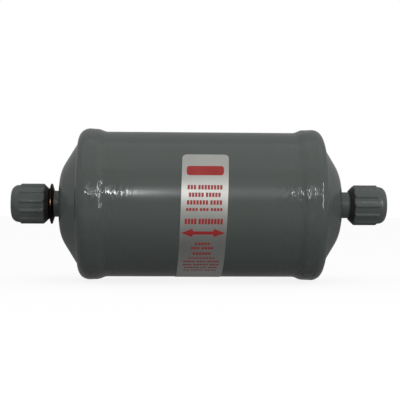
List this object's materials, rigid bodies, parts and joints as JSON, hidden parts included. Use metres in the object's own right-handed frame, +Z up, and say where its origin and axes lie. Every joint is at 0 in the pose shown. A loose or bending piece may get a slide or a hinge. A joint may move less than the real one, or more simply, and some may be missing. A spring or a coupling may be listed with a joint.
{
  "type": "filter drier",
  "caption": "Round steel filter drier for a refrigerant line: domed ends, solder sockets under ribbed caps, desiccant core between two-way valve plates.",
  "frame": {"origin": "middle of the shell, on its axis", "axes": "+X along the shell's axis towards the right end, -Y towards the label's front, +Z up"},
  "size_m": [0.1976, 0.0804, 0.0804],
  "materials": {
    "shell_paint": "glossy grey-green powder paint on steel",
    "copper_plate": "copper-plated turned steel",
    "braze_alloy": "as brazed",
    "label_paper": "satin printed label",
    "cap_plastic": "moulded plastic, oversprayed with the shell's paint",
    "desiccant": "moulded beads, rough",
    "fibre_pad": "pressed glass fibre",
    "wire_cloth": "woven wire",
    "pressed_steel": "zinc-plated pressing",
    "valve_steel": "ground stainless",
    "spring_steel": "blued spring steel"
  },
  "bodies": {
    "root": {"shell_tube": "shell_paint", "left_end_cap": "shell_paint", "right_end_cap": "shell_paint", "left_weld_bead": "shell_paint", "right_weld_bead": "shell_paint", "left_fitting": "copper_plate", "right_fitting": "copper_plate", "left_braze_fillet": "braze_alloy", "right_braze_fillet": "braze_alloy", "left_stop_ring": "copper_plate", "label": "label_paper", "desiccant_core": "desiccant", "core_spring": "spring_steel", "left_core_pad": "fibre_pad", "left_outlet_screen": "wire_cloth", "left_valve_plate": "pressed_steel", "left_ring_keeper": "pressed_steel", "left_valve_cage": "pressed_steel", "right_core_pad": "fibre_pad", "right_outlet_screen": "wire_cloth", "right_valve_plate": "pressed_steel", "right_ring_keeper": "pressed_steel", "right_valve_cage": "pressed_steel"},
    "left_cap": {"left_seal_cap": "cap_plastic"},
    "right_cap": {"right_seal_cap": "cap_plastic"},
    "left_inlet_valve": {"left_inlet_valve_ring": "valve_steel"},
    "right_inlet_valve": {"right_inlet_valve_ring": "valve_steel"},
    "left_outlet_valve": {"left_outlet_valve_disc": "valve_steel"},
    "right_outlet_valve": {"right_outlet_valve_disc": "valve_steel"}
  },
  "joints": [
    {"name": "left_cap_slide", "type": "slide", "parent": "root", "child": "left_cap", "axis": [-1, 0, 0], "range_m": [0, 0.06]},
    {"name": "left_inlet_valve_lift", "type": "slide", "parent": "root", "child": "left_inlet_valve", "axis": [1, 0, 0], "range_m": [0, 0.0015]},
    {"name": "left_outlet_valve_lift", "type": "slide", "parent": "root", "child": "left_outlet_valve", "axis": [-1, 0, 0], "range_m": [0, 0.0025]},
    {"name": "right_cap_slide", "type": "slide", "parent": "root", "child": "right_cap", "axis": [1, 0, 0], "range_m": [0, 0.06]},
    {"name": "right_inlet_valve_lift", "type": "slide", "parent": "root", "child": "right_inlet_valve", "axis": [-1, 0, 0], "range_m": [0, 0.0015]},
    {"name": "right_outlet_valve_lift", "type": "slide", "parent": "root", "child": "right_outlet_valve", "axis": [1, 0, 0], "range_m": [0, 0.0025]}
  ]
}
